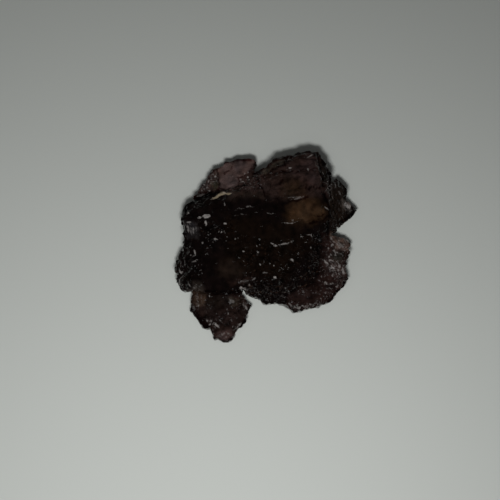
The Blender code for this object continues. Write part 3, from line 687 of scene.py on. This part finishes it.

# pale slivers, partly pale cleavage and partly painted glints: route, width and brightness; specks,
# which are painted glints: the place of each one that is listed
sliversAndGlints = [
    ([(-8.4, 7.0), (-7.6, 7.3), (-7.0, 7.7), (-6.8, 7.9)], 0.36, 0.80),
    ([(-7.5, 7.6), (-6.6, 7.95), (-5.8, 7.95)], 0.56, 1.00),
    ([(-6.2, 7.85), (-5.2, 7.9)], 0.26, 0.80),
    ([(-11.0, 7.3), (-9.9, 7.65), (-8.8, 8.1)], 0.22, 0.30),
    ([(-10.4, 4.15), (-9.4, 4.3)], 0.24, 0.65),
    ([(-9.6, 4.35), (-8.9, 4.45), (-8.3, 4.45)], 0.58, 0.80),
    ([(-9.1, 3.8), (-9.0, 3.0)], 0.34, 0.80),
    ([(-11.85, 3.3), (-11.6, 1.9)], 0.24, 0.38),
    ([(-11.4, 3.4), (-11.15, 1.6)], 0.20, 0.26),
    ([(-10.95, 3.0), (-10.85, 1.4)], 0.26, 0.40),
    ([(-10.5, 3.1), (-10.4, 1.9)], 0.18, 0.24),
    ([(-12.0, 3.6), (-11.2, 3.55)], 0.26, 0.45),
    ([(-7.85, 2.55), (-7.0, 3.1)], 0.14, 0.30),
    ([(-6.35, 2.5), (-6.15, 1.8)], 0.15, 0.38),
    ([(-7.9, 1.15), (-7.3, 1.0)], 0.26, 0.62),
    ([(-6.3, 6.6), (-6.25, 6.0)], 0.16, 0.38),
    ([(-5.0, 4.45), (-3.8, 4.75), (-2.8, 4.65)], 0.14, 0.22),
    ([(-4.9, 5.2), (-4.2, 5.55), (-3.3, 5.7)], 0.16, 0.34),
    ([(-3.2, 5.8), (-2.5, 5.95), (-1.9, 5.85)], 0.20, 0.46),
    ([(-0.2, 5.0), (0.5, 4.85), (1.3, 4.85)], 0.15, 0.36),
    ([(2.9, 11.4), (3.75, 11.85)], 0.20, 0.60),
    ([(5.8, 13.1), (6.5, 13.6), (7.5, 13.95)], 0.22, 0.50),
    ([(-0.2, 9.75), (1.2, 10.45), (2.7, 10.85)], 0.15, 0.10),
    ([(2.0, 7.35), (3.4, 7.3), (5.0, 7.4), (6.0, 7.6)], 0.14, 0.22),
    ([(3.4, 6.8), (4.2, 7.05), (5.1, 7.2), (5.9, 7.5)], 0.20, 0.34),
    ([(10.2, 9.7), (10.4, 9.2)], 0.20, 0.45),
    ([(9.9, 7.6), (9.9, 6.9)], 0.12, 0.22),
    ([(10.9, 6.7), (11.1, 6.0)], 0.14, 0.28),
    ([(2.1, 3.6), (2.8, 3.4), (3.5, 3.4), (4.7, 3.7)], 0.17, 0.50),
    ([(4.9, 1.3), (5.6, 1.45)], 0.18, 0.45),
    ([(5.9, 1.75), (6.5, 1.6), (6.9, 1.25)], 0.17, 0.45),
    ([(0.4, 0.55), (0.95, 0.2), (1.45, 0.06), (2.0, 0.15)], 0.26, 0.62),
    ([(1.4, 0.08), (2.5, 0.28), (3.8, 0.6)], 0.25, 0.55),
    ([(3.7, 0.8), (3.9, 0.1)], 0.12, 0.28),
    ([(8.6, 8.0), (9.3, 8.9), (9.8, 9.4)], 0.14, 0.45),
    ([(9.2, 8.1), (9.7, 8.8)], 0.14, 0.35),
    ([(10.2, 8.6), (10.5, 9.3)], 0.14, 0.30),
    ([(8.5, 6.0), (9.3, 5.4)], 0.15, 0.50),
    ([(8.3, 11.3), (8.6, 10.7)], 0.16, 0.25),
    ([(8.75, 12.2), (8.95, 11.5)], 0.16, 0.25),
    ([(9.1, 10.6), (9.3, 10.0)], 0.16, 0.22),
    ([(10.9, 8.4), (11.2, 7.6)], 0.14, 0.24),
    ([(11.7, 6.5), (12.0, 6.2), (12.6, 5.8)], 0.50, 0.80),
    ([(-11.6, -2.6), (-10.9, -2.3), (-9.9, -1.9)], 0.19, 0.50),
    ([(-10.8, -0.6), (-10.6, -1.3)], 0.25, 0.70),
    ([(-11.0, -1.65), (-10.4, -1.1)], 0.19, 0.52),
    ([(-13.1, -3.4), (-12.8, -4.1), (-12.3, -3.6)], 0.20, 0.64),
    ([(-12.3, -4.3), (-12.9, -4.9), (-13.1, -5.7), (-12.4, -6.1)], 0.20, 0.55),
    ([(-12.75, -2.0), (-12.8, -3.1)], 0.15, 0.16),
    ([(-12.2, -2.0), (-12.15, -3.2)], 0.18, 0.20),
    ([(-11.75, -5.2), (-11.2, -6.3)], 0.20, 0.48),
    ([(9.75, -3.3), (9.95, -3.3)], 0.38, 1.00),
    ([(3.6, -1.95), (3.95, -2.2)], 0.28, 0.80),
    ([(1.05, -4.7), (1.3, -4.75)], 0.32, 0.90),
    ([(-1.35, -0.95), (-1.2, -0.95)], 0.26, 0.78),
    ([(-3.55, -0.8), (-3.4, -0.8)], 0.24, 0.72),
    ([(-6.2, 3.38), (-6.05, 3.38)], 0.30, 0.88),
    ([(8.4, -2.0), (9.0, -2.5), (9.2, -2.8)], 0.26, 0.60),
    ([(8.8, -5.55), (9.05, -5.6)], 0.28, 0.60),
    ([(-0.8, -4.0), (0.1, -3.95)], 0.20, 0.42),
    ([(-4.4, -5.5), (-3.2, -5.2), (-2.3, -5.1)], 0.28, 0.28),
    ([(-2.2, -5.1), (-1.6, -4.75)], 0.28, 0.60),
    ([(-3.95, -6.3), (-3.3, -6.5)], 0.50, 0.85),
    ([(-3.3, -6.7), (-3.15, -7.2)], 0.36, 0.80),
    ([(-2.9, -6.1), (-2.4, -5.7)], 0.24, 0.50),
    ([(-3.4, -7.9), (-2.75, -7.8)], 0.32, 0.50),
    ([(-3.2, -9.0), (-2.8, -9.7)], 0.30, 0.42),
    ([(-5.5, -8.2), (-4.7, -8.5)], 0.42, 0.26),
    ([(-10.4, -7.1), (-10.4, -8.7)], 0.16, 0.14),
    ([(-10.65, -9.05), (-10.0, -9.05)], 0.18, 0.42),
    ([(-11.2, -9.0), (-10.7, -9.6)], 0.40, 0.26),
    ([(-9.05, -10.8), (-8.8, -11.5)], 0.28, 0.60),
    ([(-7.9, -11.5), (-7.5, -11.9), (-7.0, -12.35)], 0.32, 0.72),
    ([(-7.2, -11.0), (-6.5, -11.7)], 0.18, 0.22),
    ([(-3.8, -11.5), (-4.4, -12.4)], 0.24, 0.50),
    ([(-5.3, -12.4), (-4.95, -11.9)], 0.18, 0.35),
    ([(11.3, -3.1), (11.45, -3.8), (11.6, -4.4)], 0.26, 0.50),
    ([(9.6, 1.5), (9.75, 0.9)], 0.30, 0.40),
    ([(10.9, 0.2), (11.4, 0.0)], 0.40, 0.30),
    ([(3.2, -8.5), (3.6, -8.9)], 0.18, 0.45),
    ([(5.4, -9.5), (6.2, -9.1)], 0.18, 0.40),
]
glintSpecks = [
    (-8.1, 10.9), (-8.5, 10.45), (-7.9, 9.8), (-8.7, 9.8), (-8.3, 10.2), (-7.7, 10.6), (-9.4, 8.75),
    (-8.9, 8.9), (-9.4, 9.3), (-8.5, 8.4), (-9.7, 8.4), (-3.8, 10.2), (-3.3, 11.0), (-2.6, 10.1),
    (-2.75, 11.2), (-3.6, 9.8), (-4.95, 10.6), (-5.2, 8.75), (-2.8, 10.45), (-0.3, 10.4),
    (-0.45, 9.9), (-0.4, 9.35), (-0.95, 8.8), (-1.0, 8.25), (-7.0, 8.65), (6.2, 11.5), (-11.9, 4.7),
    (-11.7, 4.95), (-7.2, 2.2), (-8.1, 1.6), (-7.0, 1.2), (-6.0, 0.85), (-6.7, 2.1), (-4.3, 1.2),
    (-4.7, 1.05), (-3.6, 0.4), (-9.6, 0.5), (-5.8, -0.3), (-12.2, -1.5), (-13.0, -5.9),
    (-9.8, -3.6), (-1.4, 0.05), (-1.05, -2.7), (0.45, -2.6), (-8.6, -7.6), (-5.8, -10.3),
    (-8.5, -11.85), (-3.6, -8.8), (1.1, -3.0), (3.3, -3.2), (1.9, -1.7), (2.2, -2.8), (4.7, -0.7),
    (6.6, -0.25), (7.3, -3.4), (8.2, -4.6), (9.8, -6.4), (8.5, -7.6), (8.7, -0.85), (10.0, 0.25),
    (8.85, 9.45), (9.1, 9.8), (4.3, -9.3), (4.8, -8.5), (6.4, -8.7), (-0.98, -2.75), (-7.9, -13.1),
]


def scatterGlintSpecks(rng):
    # (x, y, radius, brightness, stretch) of every painted glint speck
    made = []
    for x, y in glintSpecks:
        radius = rng.uniform(*shine["speckSize"])
        brightness = rng.uniform(*shine["speckBright"])
        made.append((x, y, radius, brightness, rng.uniform(*shine["speckStretch"])))
    low, high = cadBox
    least, more = shine["spareBright"]
    while len(made) < len(glintSpecks) + shine["spare"]:
        x = rng.uniform(low[0], high[0]) / mm
        y = rng.uniform(low[1], high[1]) / mm
        spot = np.array([[x, y, 0.0]])
        if rng.uniform(0, 1) < blendOf(spot, broken)[0] * (1 - blendOf(spot, sparse)[0]):
            radius = rng.uniform(*shine["spareSize"])
            brightness = least + more * rng.uniform(0, 1) ** 3  # most are faint
            made.append((x, y, radius, brightness, rng.uniform(*shine["spareStretch"])))
    return made


def marksOf(points):
    # how far inside a pale mark or painted glint each point lies, in mm, and how bright that mark
    # is
    seen = fromAbove(points)
    near = seen + driftOf(points, shine["drift"]) * shine["markDrift"]
    inside = np.full(len(points), -9.0)
    bright = np.zeros(len(points))

    def add(depth, brightness):
        # a mark drawn later covers the ones before it
        bright[(depth > inside) | (depth > -shine["cover"])] = brightness
        np.maximum(inside, depth, out=inside)

    few = blendOf(seen, sparse) * shine["sparseLoss"]
    for name, brightness, size, rarity, stretch in crumbsAndGlints:
        lumps = cloud(points * stretch, size, 2, shine["crumbShift"]) - rarity
        outside = (1 - areaMask(seen, name)) * shine["areaEdge"]
        add(lumps * size * shine["crumbRise"] - outside - few, brightness)
    for route, width, brightness in sliversAndGlints:
        length = sum(math.dist(*leg) for leg in zip(route, route[1:]))
        tips = [np.hypot(near[:, 0] - x, near[:, 1] - y) for x, y in (route[0], route[-1])]
        narrowing = np.clip(np.minimum(*tips) / (length * shine["taper"]), shine["tip"], 1)
        add(width / 2 * narrowing - distanceAlong(near, route), brightness)
    for x, y, radius, brightness, stretch in scatterGlintSpecks(np.random.default_rng(shine["seed"])):
        away = np.hypot((near[:, 0] - x) * stretch, (near[:, 1] - y) / stretch)
        add(radius - away, brightness)
    return inside, bright


glass = {
    "index": 1.68,
    "reflectTint": (0.6, 0.6, 0.6, 1),
    "seeThrough": 0.6,
    "absorbed": (0.42, 0.24, 0.21, 1),  # the tint that light takes on inside
    "density": 1150.0,                  # per metre
    "grain": 0.10,                      # mm, width of the fine unevenness
    "grainHeight": 0.002,               # mm
    "cloudiness": 0.06,                 # how much the dullness varies
    "clouds": 2200.0,                   # of them per metre
    # colour, metal and dullness of the pale marks, painted glints among them
    "mark": (0.90, 0.84, 0.80, 1),
    "creamMark": (0.97, 0.79, 0.54, 1),
    "markEdge": (0.44, 0.60),
    "markMetal": 0.4,
    "markDullness": 0.6,
    "ragged": 0.11,                     # mm, size of the notches in the marks' edges
    "raggedDepth": 0.24,                # how deep they cut
}


def axiniteGlass():
    stone = Recipe(bpy.data.materials.new("axinite"))
    where = stone.node("ShaderNodeTexCoord", out=3)
    tint = stone.attribute("tint", out=0)
    dull = stone.attribute("dull")
    # pale marks and painted glints: paler colour, some metal and more dullness
    pale = stone.blend(stone.attribute("cream"), glass["mark"], glass["creamMark"])
    ragged = stone.speckle(where, 1 / (glass["ragged"] * mm), 2.0)
    edge = stone.attribute("mark") + (ragged - 0.5) * glass["raggedDepth"]
    low, high = glass["markEdge"]
    shape = stone.node("ShaderNodeMapRange", {"interpolation_type": "SMOOTHSTEP"},
                       Value=edge, FromMin=low, FromMax=high)
    flash = shape * stone.attribute("bright")
    spread = flash.maths("MINIMUM", flash * 2, 1)
    cloudy = (stone.speckle(where, glass["clouds"], 3.0) - 0.5) * glass["cloudiness"]
    grain = stone.speckle(where, 1 / (glass["grain"] * mm), 2.0)
    bump = stone.node("ShaderNodeBump", Height=grain, Distance=glass["grainHeight"] * mm)
    shader = stone.node(
        "ShaderNodeBsdfPrincipled",
        BaseColor=stone.blend(flash, tint, pale),
        Metallic=flash * glass["markMetal"],
        Roughness=dull + (glass["markDullness"] - dull) * spread + cloudy,
        IOR=glass["index"],
        SpecularTint=glass["reflectTint"],
        TransmissionWeight=glass["seeThrough"],
        Normal=bump,
    )
    inside = stone.node("ShaderNodeVolumeAbsorption",
                        Color=glass["absorbed"], Density=glass["density"])
    stone.node("ShaderNodeOutputMaterial", Surface=shader, Volume=inside)
    return stone.owner


group = fineCopy(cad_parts["axinite_crystal"])
print("fine mesh:", len(group.data.polygons), "faces")
carve(group)
print("crystal carved:", sum(len(face.vertices) - 2 for face in group.data.polygons), "triangles")
paint(group)
group.data.materials.clear()
group.data.materials.append(axiniteGlass())
group.data.shade_smooth()
group.data.set_sharp_from_angle(angle=math.radians(crystal["sharpAngle"]))
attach(group, "root")
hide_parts("axinite_crystal")
print("crystal painted")


table = {
    "size": 6.0,           # metres
    "tone": (0.489, 0.511, 0.484, 1),
    "dullness": 0.7,
}


def makeFloor():
    mesh = bmesh.new()
    bmesh.ops.create_grid(mesh, x_segments=2, y_segments=2, size=table["size"] / 2)
    data = bpy.data.meshes.new("floor")
    mesh.to_mesh(data)
    mesh.free()
    floor = bpy.data.objects.new("floor", data)
    scene.collection.objects.link(floor)
    paper = Recipe(bpy.data.materials.new("floorPaper"))
    surface = paper.node("ShaderNodeBsdfPrincipled",
                         BaseColor=table["tone"], Roughness=table["dullness"])
    paper.node("ShaderNodeOutputMaterial", Surface=surface)
    data.materials.append(paper.owner)


# width is a round lamp's, in metres; spread is the angle that the daylight comes from, in degrees
lights = {
    "key": dict(place=(-0.005, -0.040, 0.130), aim=(-0.030, -0.105, 0.0), width=0.026,
                power=0.181),
    "glint": dict(place=(0.0, -0.046, 0.080), aim=(0.0, 0.0, 0.0), width=0.022,
                  power=0.0015, reflected=True),
    "daylight": dict(place=(-0.03, -0.04, 0.30), aim=(0.0, 0.0, 0.0), spread=70.0, power=0.27),
}


def makeLight(name, settings):
    if "spread" in settings:
        data = bpy.data.lights.new(name, "SUN")
        data.angle = math.radians(settings["spread"])
    else:
        data = bpy.data.lights.new(name, "AREA")
        data.shape = "DISK"
        data.size = settings["width"]
    data.energy = settings["power"]
    lamp = bpy.data.objects.new(name, data)
    lamp.location = settings["place"]
    lamp.visible_glossy = settings.get("reflected", False)
    lamp.visible_transmission = lamp.visible_glossy
    towards = Vector(settings["aim"]) - lamp.location
    lamp.rotation_euler = towards.to_track_quat("-Z", "Y").to_euler()
    scene.collection.objects.link(lamp)


air = {
    "above": (0.009, 0.009, 0.009, 1),
    "horizon": (0.11, 0.115, 0.11, 1),
    "fade": (0.09, 0.26),  # sine of the elevation where the paleness starts and ends fading
}


def makeAir():
    scene.world = bpy.data.worlds.new("air")
    sky = Recipe(scene.world)
    where = sky.node("ShaderNodeTexCoord")
    height = sky.node("ShaderNodeSeparateXYZ", out=2, Vector=where)
    start, end = air["fade"]
    stops = [(0.0, air["horizon"]), (start, air["horizon"]), (end, air["above"])]
    ramp = sky.node("ShaderNodeValToRGB", {"stops": stops}, Fac=height)
    glow = sky.node("ShaderNodeBackground", Color=ramp)
    sky.node("ShaderNodeOutputWorld", Surface=glow)


view = {
    "elevation": 83.0,     # degrees
    "distance": 0.24,      # metres
    "acrossFrame": 0.075,  # metres of table across the frame
    "aim": (-0.002475, -0.0006, 0.003),
    "sensor": 36.0,        # mm
    "clip": (0.01, 20.0),
}


def makeCamera():
    data = bpy.data.cameras.new("camera")
    data.sensor_width = view["sensor"]
    data.lens = view["sensor"] * view["distance"] / view["acrossFrame"]
    data.clip_start, data.clip_end = view["clip"]
    camera = bpy.data.objects.new("camera", data)
    angle = math.radians(view["elevation"])
    back = Vector((0, -math.cos(angle), math.sin(angle)))
    camera.location = Vector(view["aim"]) + back * view["distance"]
    camera.rotation_euler = back.to_track_quat("Z", "Y").to_euler()
    scene.collection.objects.link(camera)
    scene.camera = camera


makeFloor()
for name, settings in lights.items():
    makeLight(name, settings)
makeAir()
makeCamera()
print("floor, lights and camera placed")
